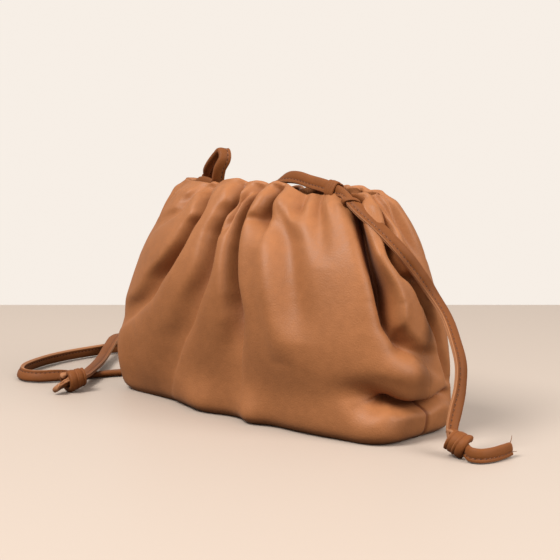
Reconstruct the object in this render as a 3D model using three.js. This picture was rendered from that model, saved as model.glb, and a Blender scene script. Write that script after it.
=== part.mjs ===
// A soft tan leather pouch bag, gathered along its mouth, with a narrow stitched strap at each end.
// Millimetres, +Z up. The origin is the middle of the base, on the surface that the bag rests on.
// +X runs along the bag towards its near end, and -Y is its front.
import * as THREE from 'three';
import { mergeVertices } from 'three/addons/utils/BufferGeometryUtils.js';

// Driving dimensions
const RIM_HEIGHT = 140;
const HALF_PANEL = 147.5;
const WALL = 1.6;
const GAP = 0.3;
const END_TAPER = 0.08;
const MOUTH_HALF_GAP = 5;
const MOUTH_SHARE = 0.85;
const SINK_TILT = 0.5;
const LEVEL_SINK_BELOW = 25;
const STRAP_THICKNESS = 3.6;
const STRAP_CORNER = 1.1;
const KEEPER_LENGTH = 11;
const KEEPER_WALL = 1.4;
const LOOP_LENGTH = 4;
const LOOP_WALL = 1.2;
const FIT_CLEARANCE = 0.45;
const KNOT_RADII = { along: 8.6, across: 8.2, up: 7.6 };

// Panel mesh: columns along the girth, rows up the base and the wall
const PANEL_COLUMNS = 48;
const BASE_SHARES = [0, 0.5];
const BASE_REACH = 0.9;
const WALL_HEIGHTS = [
  0, 3, 8, 14, 20, 25, 30, 36, 43, 51, 60,
  69, 78, 87, 96, 105, 113, 120, 126, 131, 136, 140,
];
const OUTLINE_STEPS = 240;
const PROBE = 0.5;
const MERGE_WITHIN = 0.001;

// Knot mesh: steps along its body and round it
const KNOT_STEPS = 12;
const KNOT_SIDES = 16;
const KNOT_GROOVE = { depth: 0.09, width: 0.22 };

const LEATHER = { color: 0xa8673c, roughness: 0.55, metalness: 0 };
const STRAP_LEATHER = { color: 0x9c5a32, roughness: 0.5, metalness: 0 };

// A girth is measured round the bag: 0 at the front middle, HALF_PANEL at the near end seam,
// 2 * HALF_PANEL at the back middle and 3 * HALF_PANEL at the far end seam.
const WHOLE_GIRTH = 4 * HALF_PANEL;

// Sections of the unfolded form, one row for each height
const SECTIONS = rowsOf(['height', 'halfLength', 'halfDepth', 'squareness', 'shift'], [
  [0, 115, 36, 4.6, 0],
  [3, 120, 40.5, 4.2, 0],
  [10, 122.5, 43, 3.9, 0],
  [25, 123.5, 45, 3.5, 0],
  [45, 122.5, 48, 3.1, 0.3],
  [65, 119.5, 50, 2.8, 1.0],
  [85, 115.5, 49, 2.5, 2.2],
  [105, 109, 43, 2.4, 3.2],
  [122, 101, 33, 2.2, 3.2],
  [134, 92.5, 22, 2.1, 2.6],
  [140, 87, 16, 2.0, 2.6],
]);

// Folds that run down from the rim, one row each. The five girths are where the valley lies at the
// rim, at 0.85, 0.6 and 0.3 of the way up from its foot, and at the foot. A fold with a negative
// depth is a ridge. Lean makes the side of greater girth the steeper one.
const FOLD_STATIONS = [0, 0.3, 0.6, 0.85, 1];
const FOLD_DEEPEST = 0.8;
const FOLD_SOFTNESS = 0.3;
const FOLD_FLARE = 0.7;
const NARROWS_FROM = 0.6;
const RIM_NARROWING = 0.35;
const FOLDS = rowsOf(
  [
    'name', 'rimAt', 'upperAt', 'middleAt', 'lowerAt', 'footAt',
    'foot', 'rimDepth', 'depth', 'width', 'lean',
  ],
  [
    ['far_front_corner', -128, -121, -116, -118, -126, 78, 6, 8, 9, 0.24],
    ['front_far_gather', -88, -83, -78, -90, -104, 96, 7, 10, 9, 0.3],
    ['front_far_drape', -64, -52, -54, -71, -110, 32, 8, 16, 10, 0.3],
    ['front_left_drape', -22, -20, -14, -28, -49, -4, 9, 15, 9, 0.3],
    ['front_pinch', -4, -6, -9, -12, -15, 110, 7, 8, 3.4, 0],
    ['front_middle_drape', 13, 4.5, 13.5, 25, 26, 6, 9, 20, 11, 0.3],
    ['front_dimple', 34, 31, 29, 32, 36, 110, 9, 16, 8, 0.24],
    ['front_soft_valley', 28, 33, 49, 58, 63, 56, 0, 6, 11, 0],
    ['front_soft_ridge', 26, 28, 35, 44, 52, 42, 0, -4, 10, 0],
    ['front_pucker', 52, 52, 52, 52, 52, 126, 9, 9, 7, 0],
    ['front_near_gather', 70, 71, 74, 77, 79, 100, 7, 6, 9, 0],
    ['near_tuck', 103, 107.5, 112.5, 118, 145, 32, 9, 22, 11, -0.3],
    ['near_end_crease', 128, 125.5, 135, 156, 168, 26, 6, 11, 7, -0.24],
    ['back_near_corner', 170, 169, 166, 165, 166, 68, 8, 12, 10, 0],
    ['back_near_gather', 195, 196, 198, 204, 210, 54, 9, 14, 10, -0.24],
    ['back_near_drape', 222, 226, 231, 236, 250, 0, 9, 18, 10, -0.3],
    ['back_small_gather', 250, 252, 255, 257, 258, 86, 8, 11, 8, 0.24],
    ['back_middle_drape', 280, 276, 275, 283, 290, 6, 9, 19, 10, 0.3],
    ['back_middle_gather', 306, 308, 307, 305, 304, 82, 8, 11, 9, 0.12],
    ['back_far_drape', 335, 332, 331, 342, 358, 6, 9, 17, 10, -0.3],
    ['back_far_gather', 362, 364, 366, 366, 364, 78, 8, 11, 9, 0.18],
    ['back_far_corner', 386, 388, 392, 400, 408, 20, 9, 13, 9, 0.24],
    ['far_tuck', 410, 412, 416, 422, 430, 30, 8, 12, 9, -0.24],
  ],
);

// Creases that run round the girth: heights at even steps from the start to the end
const CREASE_STATIONS = [0, 0.25, 0.5, 0.75, 1];
const CREASES = rowsOf(
  [
    'name', 'start', 'end', 'startAt', 'firstAt', 'middleAt', 'lastAt', 'endAt',
    'depth', 'width', 'lean',
  ],
  [['near_end_sag', 90, 178, 26, 31, 25, 25, 30, 14, 6.5, 0.2]],
);

// Round dents, and swellings where the depth is negative
const DENTS = rowsOf(['name', 'girth', 'height', 'halfAlong', 'halfUp', 'depth'], [
  ['near_corner_hollow', 104, 35, 14, 9, 8],
  ['tuck_upper_pocket', 121, 84, 6, 8, 5],
  ['tuck_swelling', 123, 71, 6, 6, -4],
  ['tuck_lower_pocket', 126, 57, 7, 6, 4],
  ['near_end_belly', 138, 41, 12, 10, -5],
  ['front_foot_left', -26, 3, 17, 14, -6],
  ['front_foot_middle', 20, 3, 11, 14, -6.5],
  ['front_foot_near', 60, 3, 40, 14, -2.2],
  ['near_front_foot', 112, 5, 16, 16, -6],
  ['far_front_foot', -86, 3, 24, 14, 3],
  ['far_front_belly', -119, 32, 15, 30, -4.5],
]);

// How far the gathered rim rises or dips
const RIM_LIFTS = rowsOf(['girth', 'lift'], [
  [-147.5, 0],
  [-60, 1],
  [0, 3.5],
  [28, 2.5],
  [52, -3.5],
  [80, -2],
  [105, -2],
  [147.5, 0],
  [205, 3.5],
  [295, 1.5],
  [380, 1],
  [442.5, 0],
]);
const RIM_LIFT_FROM = 105;
const LIFT_GIRTHS = RIM_LIFTS.map((row) => row.girth);
const LIFTS = RIM_LIFTS.map((row) => row.lift);

// Strap routes: places along the middle of the strap, the way its width faces, and its width
const ROUTE_COLUMNS = ['x', 'y', 'z', 'acrossX', 'acrossY', 'acrossZ', 'width'];
const NEAR_STRAP = rowsOf(ROUTE_COLUMNS, [
  [-8, 10, 127, 1, 0, 0, 8],
  [-6, 5.5, 137.5, 1, 0.2, 0.3, 8],
  [0.5, 3.8, 143.8, 0.7, 0.6, 0.6, 8],
  [10, 1.4, 147.2, 0.4, 0.6, 0.7, 8],
  [19.5, 0, 147.6, 0.3, 0.5, 0.8, 8],
  [30, -2.2, 146.3, 0.3, 0.5, 0.8, 7.6],
  [45, -4.4, 144.4, 0.3, 0.5, 0.8, 7],
  [54, -6.4, 142.9, 0.3, 0.5, 0.8, 7],
  [60.5, -7.8, 141.6, 0.3, 0.5, 0.8, 6.8],
  [66, -10.1, 139.6, 0.2, 0.8, 0.6, 5.4],
  [74, -13.6, 136, 0.2, 0.9, 0.5, 6],
  [82.3, -14, 131.3, 0.3, 0.9, 0.4, 8],
  [95.8, -13, 122.2, 0.4, 0.9, 0.2, 8],
  [108.5, -9.5, 110.5, 0.4, 0.9, 0.1, 8],
  [115.4, -0.8, 96.7, 0.3, 0.95, 0, 8],
  [121, 6, 83.4, 0.1, 0.98, 0, 8],
  [130.2, 6.4, 72, 0, 0.98, 0, 8],
  [140, 1.4, 61.2, 0, 0.99, 0, 8],
  [149, -4, 48, 0.1, 0.99, 0, 8],
  [153.5, -8.5, 35, 0.15, 0.98, 0, 8],
  [157, -14, 25, 0.3, 0.95, 0, 8],
  [159.9, -19.7, 16.1, 0.4, 0.9, 0, 7],
]);
const NEAR_KNOT = { x: 161.4, y: -22.8, z: 8.2, turn: 0.6 };
const NEAR_TAIL = rowsOf(ROUTE_COLUMNS, [
  [169.6, -27.4, 5, 0.1, 0.25, 1, 7],
  [175, -28, 4.5, 0, 0.25, 1, 8],
  [180.2, -25.8, 4.4, -0.2, 0.15, 1, 8],
  [182.9, -18.5, 4.4, -0.25, 0, 1, 8],
  [183, -9.5, 4.4, -0.25, 0, 1, 8],
  [182.3, -1.5, 4.5, -0.25, -0.05, 1, 7.4],
]);
const FAR_STRAP = rowsOf(ROUTE_COLUMNS, [
  [-53, 9.5, 126, 0.8, 0.4, 0, 8],
  [-52, 0.4, 137.5, 0.6, 0.7, 0, 8],
  [-47.5, -3, 148.5, 0.5, 0.8, 0.1, 8],
  [-44.5, -1, 157.5, 0.6, 0.8, 0.1, 8],
  [-47.5, 0.8, 162.3, 0.6, 0.8, 0, 8],
  [-53.2, 2.2, 158.8, 0.6, 0.8, 0, 8],
  [-61, 3.8, 151.8, 0.65, 0.75, 0, 8],
  [-67, 6, 146.8, 0.75, 0.65, 0, 7.4],
  [-70.6, 9.2, 143.6, 0.9, 0.4, 0, 6.6],
  [-72.8, 12.2, 140.2, 0.92, 0.38, 0, 7.6],
  [-75.9, 13.6, 134.1, 0.9, 0.4, 0, 8],
  [-81.2, 16, 127.5, 0.88, 0.45, 0, 8],
  [-87.9, 18.2, 119.3, 0.8, 0.55, 0, 8],
  [-95.2, 18.7, 109.2, 0.7, 0.7, 0, 8],
  [-102.8, 17.7, 97.2, 0.6, 0.8, 0, 8],
  [-111.4, 14.5, 83.4, 0.4, 0.9, 0, 8],
  [-119, 9.5, 67.3, 0.15, 0.98, 0, 8],
  [-122.9, 5.8, 52, 0, 1, 0, 8],
  [-126, 6, 30, 0, 1, 0, 8],
  [-129, 7.5, 14, 0.1, 0.95, 0.1, 8],
  [-136.5, 7.5, 5.4, 0.3, 0.9, 0.2, 8],
  [-145, 1.5, 2.8, -0.75, 0.65, 0.15, 8],
  [-151, -9.5, 2.5, -0.93, 0.37, 0.05, 8],
  [-155, -20, 2.4, -0.95, 0.3, 0, 8],
  [-157.4, -28, 2.5, -0.97, 0.25, 0.05, 8],
  [-159.2, -35.5, 3.6, -0.87, 0.27, 0.42, 8],
  [-162.4, -46.5, 4.6, -0.53, 0.23, 0.82, 8],
  [-169, -57, 4.6, -0.25, 0.28, 0.93, 8],
  [-179, -61, 4.6, 0, 0.37, 0.93, 8],
  [-190, -57, 4.6, 0.2, 0.31, 0.93, 8],
  [-199.5, -47, 4.6, 0.3, 0.21, 0.93, 8],
  [-206.5, -33, 4.6, 0.34, 0.14, 0.93, 8],
  [-212.5, -15.5, 4.6, 0.36, 0.07, 0.93, 8],
  [-215.8, 5, 4.6, 0.37, 0.02, 0.93, 8],
  [-216, 25, 4.6, 0.37, 0, 0.93, 8],
  [-215, 46, 4.5, 0.3, 0, 0.95, 8],
  [-211, 66, 4.4, 0.2, 0, 0.98, 8],
  [-207.5, 86, 4.4, 0.1, 0, 1, 8],
  [-213, 102, 4.4, 0, 0, 1, 8],
  [-227, 106, 4.6, 0, 0, 1, 8],
  [-236.5, 93, 5.2, 0.45, 0.1, 0.88, 8],
  [-233.5, 76, 8, 0.85, 0.3, 0.35, 8],
  [-225, 62.5, 10.6, 0.83, 0.55, 0.1, 8],
  [-215.5, 49, 11.2, 0.8, 0.6, 0, 8],
  [-201, 31.5, 9.2, 0.78, 0.62, 0, 8],
  [-186, 13.5, 6.5, 0.77, 0.63, 0, 8],
  [-170, -4.5, 6.3, 0.76, 0.65, 0, 8],
  [-154.5, -22.5, 7.1, 0.78, 0.62, 0, 8],
  [-142.5, -39, 6.8, 0.82, 0.57, 0, 8],
  [-134.7, -50.8, 7.6, 0.84, 0.54, 0, 7],
]);
const FAR_KNOT = { x: -129.5, y: -58.5, z: 8.2, turn: 0.6 };
const FAR_TAIL = rowsOf(ROUTE_COLUMNS, [
  [-131.5, -67.9, 5.3, 0.6, 0.35, 0.7, 7],
  [-130, -71, 5.1, 0.6, 0.35, 0.7, 8],
  [-128.3, -74.4, 4.9, 0.6, 0.35, 0.7, 7.4],
]);
const KEEPER_ROUTE_ROW = 7;
const NEAR_LOOP_ROUTE_ROW = 10;
const FAR_LOOP_ROUTE_ROW = 8;

function rowsOf(columns, rows) {
  return rows.map((row) => Object.fromEntries(columns.map((column, index) => [column, row[index]])));
}

function smoothStep(share) {
  const s = THREE.MathUtils.clamp(share, 0, 1);
  return s * s * (3 - 2 * s);
}

// Smooth curve through the values at the given places, which rise.
function through(places, values, place) {
  const last = places.length - 1;
  const slope = (i) => {
    const low = Math.max(i - 1, 0);
    const high = Math.min(i + 1, last);
    return (values[high] - values[low]) / (places[high] - places[low]);
  };
  let i = 0;
  while (i < last - 1 && place > places[i + 1]) i += 1;
  const span = places[i + 1] - places[i];
  const t = THREE.MathUtils.clamp((place - places[i]) / span, 0, 1);
  const rise = t * t * (3 - 2 * t);
  const leave = t * (1 - t) * (1 - t) * span * slope(i);
  const arrive = t * t * (t - 1) * span * slope(i + 1);
  return values[i] * (1 - rise) + values[i + 1] * rise + leave + arrive;
}

// Front half of a section, a rounded rectangle from the far seam to the near one in equal steps.
function outlineOf(section) {
  const points = [];
  for (let i = 0; i <= 4 * OUTLINE_STEPS; i += 1) {
    const angle = (Math.PI * i) / (4 * OUTLINE_STEPS);
    const power = 2 / section.squareness;
    const along = -Math.sign(Math.cos(angle)) * Math.abs(Math.cos(angle)) ** power;
    const taper = 1 + END_TAPER * along * (1 - section.height / RIM_HEIGHT);
    const depth = section.halfDepth * Math.sin(angle) ** power * taper;
    points.push(new THREE.Vector2(section.halfLength * along + section.shift, -depth));
  }
  const lengths = [0];
  for (let i = 1; i < points.length; i += 1) {
    lengths.push(lengths[i - 1] + points[i].distanceTo(points[i - 1]));
  }
  const even = [];
  let k = 0;
  for (let i = 0; i <= OUTLINE_STEPS; i += 1) {
    const length = (lengths[lengths.length - 1] * i) / OUTLINE_STEPS;
    while (k < points.length - 2 && lengths[k + 1] < length) k += 1;
    const share = (length - lengths[k]) / (lengths[k + 1] - lengths[k]);
    even.push(points[k].clone().lerp(points[k + 1], share));
  }
  return even;
}

const SECTION_HEIGHTS = SECTIONS.map((section) => section.height);
const OUTLINES = SECTIONS.map(outlineOf);

// Point of the unfolded form.
function formPoint(girth, height) {
  const wrapped = THREE.MathUtils.euclideanModulo(girth + HALF_PANEL, WHOLE_GIRTH) - HALF_PANEL;
  const onBack = wrapped > HALF_PANEL;
  const along = onBack ? 2 * HALF_PANEL - wrapped : wrapped;
  const place = THREE.MathUtils.clamp((along / HALF_PANEL + 1) / 2, 0, 1) * OUTLINE_STEPS;
  const step = Math.min(Math.floor(place), OUTLINE_STEPS - 1);
  const spots = OUTLINES.map((outline) => outline[step].clone().lerp(outline[step + 1], place - step));
  const x = through(SECTION_HEIGHTS, spots.map((spot) => spot.x), height);
  const y = through(SECTION_HEIGHTS, spots.map((spot) => spot.y), height);
  return new THREE.Vector3(x, onBack ? -y : y, height);
}

// Way from a middle girth to a girth, the shorter way round the bag.
function girthFrom(middle, girth) {
  const half = WHOLE_GIRTH / 2;
  return THREE.MathUtils.euclideanModulo(girth - middle + half, WHOLE_GIRTH) - half;
}

// Sink of one valley at an offset from its line.
function valley(offset, depth, width, lean) {
  const away = offset / (width * (1 - Math.sign(offset) * lean));
  const spread = (away ** 2 + FOLD_SOFTNESS ** 2) ** FOLD_FLARE;
  return depth * Math.exp(FOLD_SOFTNESS ** (2 * FOLD_FLARE) - spread);
}

function foldAt(fold, girth, height) {
  const length = RIM_HEIGHT - fold.foot;
  const up = (height - fold.foot) / length;
  if (up <= 0) return 0;
  const girths = [fold.footAt, fold.lowerAt, fold.middleAt, fold.upperAt, fold.rimAt];
  const line = (share) => through(FOLD_STATIONS, girths, share);
  const slant = (line(up + PROBE / length) - line(up - PROBE / length)) / (2 * PROBE);
  const offset = (girthFrom(fold.rimAt, girth) + fold.rimAt - line(up)) / Math.hypot(1, slant);
  const fade = 1 - Math.max(0, (FOLD_DEEPEST - up) / FOLD_DEEPEST) ** 2;
  const atRim = smoothStep((up - FOLD_DEEPEST) / (1 - FOLD_DEEPEST));
  const depth = fold.depth * fade * (1 - atRim) + fold.rimDepth * atRim;
  const narrowing = RIM_NARROWING * smoothStep((up - NARROWS_FROM) / (1 - NARROWS_FROM));
  return valley(offset, depth, fold.width * (1 - narrowing), fold.lean);
}

function creaseAt(crease, girth, height) {
  const along = girthFrom(crease.start, girth) / (crease.end - crease.start);
  if (along <= 0 || along >= 1) return 0;
  const heights = [crease.startAt, crease.firstAt, crease.middleAt, crease.lastAt, crease.endAt];
  const depth = crease.depth * Math.sin(Math.PI * along) ** FOLD_FLARE;
  const offset = height - through(CREASE_STATIONS, heights, along);
  return valley(offset, depth, crease.width, crease.lean);
}

function dentAt(dent, girth, height) {
  const along = girthFrom(dent.girth, girth) / dent.halfAlong;
  const up = (height - dent.height) / dent.halfUp;
  return dent.depth * Math.exp(-along * along - up * up);
}

// How far the leather lies inside the unfolded form. Valleys that meet don't add up their depths.
function sinkAt(girth, height) {
  const sinks = [
    ...FOLDS.map((fold) => foldAt(fold, girth, height)),
    ...CREASES.map((crease) => creaseAt(crease, girth, height)),
    ...DENTS.map((dent) => dentAt(dent, girth, height)),
  ];
  const rises = sinks.map((sink) => Math.min(sink, 0));
  return Math.hypot(...sinks.map((sink) => Math.max(sink, 0))) + rises.reduce((a, b) => a + b);
}

// Point of the folded outer face.
function leatherPoint(girth, height) {
  const point = formPoint(girth, height);
  const side = point.y <= 0 ? -1 : 1;
  const round = formPoint(girth + PROBE, height).sub(formPoint(girth - PROBE, height));
  const low = Math.max(height - PROBE, 0);
  const high = Math.min(height + PROBE, RIM_HEIGHT);
  const rise = formPoint(girth, high).sub(formPoint(girth, low));
  const outward = round.cross(rise).normalize();
  outward.z *= SINK_TILT * smoothStep(height / LEVEL_SINK_BELOW);
  const keptDepth = Math.min(MOUTH_SHARE * Math.abs(point.y), MOUTH_HALF_GAP);
  point.addScaledVector(outward.normalize(), -sinkAt(girth, height));
  point.y = side * Math.max(side * point.y, keptDepth);
  const lift = through(LIFT_GIRTHS, LIFTS, girthFrom(HALF_PANEL, girth) + HALF_PANEL);
  point.z += lift * smoothStep((height - RIM_LIFT_FROM) / (RIM_HEIGHT - RIM_LIFT_FROM));
  return point;
}

// Closed mesh from a list of points and of triangles, without the ones that have no area.
function solidFrom(points, triangles) {
  const geometry = new THREE.BufferGeometry();
  const numbers = points.flatMap((point) => point.toArray());
  geometry.setAttribute('position', new THREE.Float32BufferAttribute(numbers, 3));
  geometry.setIndex(triangles.flat());
  const merged = mergeVertices(geometry, MERGE_WITHIN);
  const index = merged.getIndex().array;
  const kept = [];
  for (let i = 0; i < index.length; i += 3) {
    const [a, b, c] = index.slice(i, i + 3);
    if (a !== b && b !== c && c !== a) kept.push(a, b, c);
  }
  merged.setIndex(kept);
  merged.computeVertexNormals();
  return merged;
}

// One leather half of the pouch, from the middle of the base up to the rim.
function panelGeometry(firstGirth, side) {
  const rows = BASE_SHARES.length + WALL_HEIGHTS.length;
  const start = leatherPoint(firstGirth, 0).x * BASE_REACH;
  const end = leatherPoint(firstGirth + 2 * HALF_PANEL, 0).x * BASE_REACH;
  const outer = [];
  for (let row = 0; row < rows; row += 1) {
    const height = WALL_HEIGHTS[Math.max(row - BASE_SHARES.length, 0)];
    const share = row < BASE_SHARES.length ? BASE_SHARES[row] : 1;
    const line = [];
    for (let column = 0; column <= PANEL_COLUMNS; column += 1) {
      const girth = firstGirth + (2 * HALF_PANEL * column) / PANEL_COLUMNS;
      const point = leatherPoint(girth, height);
      if (column === 0 || column === PANEL_COLUMNS) point.y = 0;
      const middle = start + ((end - start) * column) / PANEL_COLUMNS;
      point.x = middle * (1 - share) + point.x * share;
      point.y = point.y * share + (side * GAP) / 2;
      line.push(point);
    }
    outer.push(line);
  }
  const inner = outer.map((line, row) => line.map((point, column) => {
    if (row < BASE_SHARES.length) return point.clone().setZ(WALL);
    const left = line[Math.max(column - 1, 0)];
    const right = line[Math.min(column + 1, PANEL_COLUMNS)];
    const below = outer[row - 1][column];
    const above = outer[Math.min(row + 1, rows - 1)][column];
    const outward = right.clone().sub(left).cross(above.clone().sub(below)).normalize();
    if (column === 0 || column === PANEL_COLUMNS) outward.y = 0;
    if (row === rows - 1) outward.z = 0;
    return point.clone().addScaledVector(outward.normalize(), -WALL);
  }));
  const points = [...outer.flat(), ...inner.flat()];
  const triangles = [];
  const at = (layer, row, column) => (layer * rows + row) * (PANEL_COLUMNS + 1) + column;
  const quad = (a, b, c, d) => {
    const across = points[a].distanceTo(points[c]) <= points[b].distanceTo(points[d]);
    if (across) triangles.push([a, b, c], [a, c, d]);
    else triangles.push([a, b, d], [b, c, d]);
  };
  const top = rows - 1;
  for (let row = 0; row < top; row += 1) {
    for (let column = 0; column < PANEL_COLUMNS; column += 1) {
      quad(at(0, row, column), at(0, row, column + 1), at(0, row + 1, column + 1), at(0, row + 1, column));
      quad(at(1, row, column), at(1, row + 1, column), at(1, row + 1, column + 1), at(1, row, column + 1));
    }
    const end = PANEL_COLUMNS;
    quad(at(0, row, 0), at(0, row + 1, 0), at(1, row + 1, 0), at(1, row, 0));
    quad(at(1, row, end), at(1, row + 1, end), at(0, row + 1, end), at(0, row, end));
  }
  for (let column = 0; column < PANEL_COLUMNS; column += 1) {
    quad(at(0, top, column), at(0, top, column + 1), at(1, top, column + 1), at(1, top, column));
    quad(at(1, 0, column), at(1, 0, column + 1), at(0, 0, column + 1), at(0, 0, column));
  }
  return solidFrom(points, triangles);
}

// Place, direction and width of a strap at a row of its route.
function strapFrame(route, row) {
  const placeAt = (index) => new THREE.Vector3(route[index].x, route[index].y, route[index].z);
  const next = placeAt(Math.min(row + 1, route.length - 1));
  const ahead = next.sub(placeAt(Math.max(row - 1, 0))).normalize();
  const { acrossX, acrossY, acrossZ, width } = route[row];
  const across = new THREE.Vector3(acrossX, acrossY, acrossZ).projectOnPlane(ahead).normalize();
  return { place: placeAt(row), ahead, across, up: ahead.clone().cross(across), width };
}

// A strap folded flat: an eight-sided section swept along its route.
function strapGeometry(route) {
  const steps = route.length - 1;
  const points = [];
  const triangles = [];
  for (let step = 0; step <= steps; step += 1) {
    const frame = strapFrame(route, step);
    const size = { width: frame.width, thickness: STRAP_THICKNESS };
    for (const corner of chamferedRectangle(size, STRAP_CORNER)) {
      points.push(frame.place.clone()
        .addScaledVector(frame.across, corner.x)
        .addScaledVector(frame.up, corner.y));
    }
  }
  const sides = points.length / (steps + 1);
  for (let side = 0; side < sides; side += 1) {
    const next = (side + 1) % sides;
    for (let step = 0; step < steps; step += 1) {
      const here = step * sides;
      triangles.push([here + side, here + next, here + sides + next]);
      triangles.push([here + side, here + sides + next, here + sides + side]);
    }
    if (side > 0 && side < sides - 1) {
      triangles.push([0, side + 1, side]);
      triangles.push([steps * sides, steps * sides + side, steps * sides + side + 1]);
    }
  }
  return solidFrom(points, triangles);
}

// A flat band closed round a strap, with the strap's section left open in it.
function collarMesh(name, route, row, length, wall) {
  const frame = strapFrame(route, row);
  const hole = {
    width: frame.width + 2 * FIT_CLEARANCE,
    thickness: STRAP_THICKNESS + 2 * FIT_CLEARANCE,
  };
  const outside = { width: hole.width + 2 * wall, thickness: hole.thickness + 2 * wall };
  const shape = new THREE.Shape(chamferedRectangle(outside, wall));
  shape.holes.push(new THREE.Path(chamferedRectangle(hole, STRAP_CORNER)));
  const geometry = new THREE.ExtrudeGeometry(shape, { depth: length, bevelEnabled: false });
  geometry.translate(0, 0, -length / 2);
  const turned = new THREE.Matrix4().makeBasis(frame.across, frame.up, frame.ahead);
  geometry.applyMatrix4(turned.setPosition(frame.place));
  return leatherMesh(name, geometry, STRAP_LEATHER);
}

function chamferedRectangle(size, corner) {
  const x = size.width / 2;
  const y = size.thickness / 2;
  return [
    [x - corner, -y], [x, corner - y], [x, y - corner], [x - corner, y],
    [corner - x, y], [-x, y - corner], [-x, corner - y], [corner - x, -y],
  ].map(([across, up]) => new THREE.Vector2(across, up));
}

// A pulled-tight knot: a round body with a groove between its two wraps.
function knotMesh(name, place, turn) {
  const profile = [];
  for (let i = 0; i <= KNOT_STEPS; i += 1) {
    const angle = (Math.PI * i) / KNOT_STEPS;
    const away = (angle - Math.PI / 2) / KNOT_GROOVE.width;
    const groove = 1 - KNOT_GROOVE.depth * Math.exp(-away * away);
    profile.push(new THREE.Vector2(Math.sin(angle) * groove, -Math.cos(angle)));
  }
  profile[0].x = 0;
  profile[KNOT_STEPS].x = 0;
  const geometry = new THREE.LatheGeometry(profile, KNOT_SIDES);
  geometry.scale(KNOT_RADII.across, KNOT_RADII.along, KNOT_RADII.up);
  geometry.rotateZ(turn);
  geometry.translate(place.x, place.y, place.z);
  return leatherMesh(name, geometry, STRAP_LEATHER);
}

function leatherMesh(name, geometry, look) {
  const mesh = new THREE.Mesh(geometry, new THREE.MeshStandardMaterial(look));
  mesh.name = name;
  return mesh;
}

const bag = new THREE.Group();
bag.add(
  leatherMesh('front_panel', panelGeometry(-HALF_PANEL, -1), LEATHER),
  leatherMesh('back_panel', panelGeometry(HALF_PANEL, 1), LEATHER),
  leatherMesh('near_strap', strapGeometry(NEAR_STRAP), STRAP_LEATHER),
  collarMesh('near_keeper', NEAR_STRAP, KEEPER_ROUTE_ROW, KEEPER_LENGTH, KEEPER_WALL),
  collarMesh('near_anchor_loop', NEAR_STRAP, NEAR_LOOP_ROUTE_ROW, LOOP_LENGTH, LOOP_WALL),
  knotMesh('near_end_knot', NEAR_KNOT, NEAR_KNOT.turn),
  leatherMesh('near_tail', strapGeometry(NEAR_TAIL), STRAP_LEATHER),
  leatherMesh('far_strap', strapGeometry(FAR_STRAP), STRAP_LEATHER),
  collarMesh('far_anchor_loop', FAR_STRAP, FAR_LOOP_ROUTE_ROW, LOOP_LENGTH, LOOP_WALL),
  knotMesh('far_end_knot', FAR_KNOT, FAR_KNOT.turn),
  leatherMesh('far_tail', strapGeometry(FAR_TAIL), STRAP_LEATHER),
);

export default bag;
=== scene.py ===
"""A gathered pouch handbag in tan leather, with narrow folded straps that end in knots."""
import math

import bpy
import numpy as np
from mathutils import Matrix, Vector


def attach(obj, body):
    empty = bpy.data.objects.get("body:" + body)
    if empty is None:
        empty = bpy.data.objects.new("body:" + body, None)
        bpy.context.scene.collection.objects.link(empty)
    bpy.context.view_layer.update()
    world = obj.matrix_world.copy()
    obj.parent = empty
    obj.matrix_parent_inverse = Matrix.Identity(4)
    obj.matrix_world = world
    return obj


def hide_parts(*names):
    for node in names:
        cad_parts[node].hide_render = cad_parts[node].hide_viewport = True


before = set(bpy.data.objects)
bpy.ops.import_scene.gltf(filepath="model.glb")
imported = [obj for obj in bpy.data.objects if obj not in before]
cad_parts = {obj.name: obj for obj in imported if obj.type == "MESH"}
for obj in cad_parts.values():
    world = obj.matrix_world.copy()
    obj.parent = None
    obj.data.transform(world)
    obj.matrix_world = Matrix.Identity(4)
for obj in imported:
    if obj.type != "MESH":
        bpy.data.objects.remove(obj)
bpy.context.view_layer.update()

# Leather of the pouch
# Soft drum-dyed calf with a fine tight grain and a satin finish. It is painted a little darker where it
# folds in, as shade, and its colour drifts slightly from place to place as a hide's does.
MM = 0.001


def new_material(name):
    material = bpy.data.materials.new(name)
    material.use_nodes = True
    material.node_tree.nodes.clear()
    return material, material.node_tree


def add_node(tree, kind, settings=None, **sockets):
    """A node with its settings and socket values, where _ in a name stands for a space."""
    node = tree.nodes.new(kind)
    for name, value in (settings or {}).items():
        setattr(node, name, value)
    for name, value in sockets.items():
        node.inputs[name.replace("_", " ")].default_value = value
    return node


def join(tree, *links):
    """Links, each from a node's output to a node's input."""
    for source, output, target, socket in links:
        tree.links.new(source.outputs[output], target.inputs[socket])


def mix_colours(tree, share, first, second, mode="MIX"):
    """Colour output between two colours, which are sockets or plain colours."""
    mix = add_node(tree, "ShaderNodeMix", {"data_type": "RGBA", "blend_type": mode})
    for place, value in ((0, share), (6, first), (7, second)):
        if isinstance(value, bpy.types.NodeSocket):
            tree.links.new(value, mix.inputs[place])
        else:
            mix.inputs[place].default_value = value
    return mix.outputs[2]


def noise_at(tree, where, scale, detail, roughness=0.5, distortion=0.0):
    noise = add_node(tree, "ShaderNodeTexNoise", Scale=scale, Detail=detail, Roughness=roughness,
                     Distortion=distortion)
    tree.links.new(where, noise.inputs["Vector"])
    return noise.outputs["Fac"]


def spread(tree, value, low, high, first=0.0, last=1.0):
    """Number from first to last as a socket's value goes from low to high."""
    mapped = add_node(tree, "ShaderNodeMapRange", From_Min=low, From_Max=high, To_Min=first,
                      To_Max=last)
    tree.links.new(value, mapped.inputs["Value"])
    return mapped.outputs["Result"]


def show_surface(tree, shader):
    join(tree, (shader, "BSDF", add_node(tree, "ShaderNodeOutputMaterial"), "Surface"))


# light and dark are the hide's own tone; folded is the colour of painted shade, cut the paler raw edge
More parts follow.
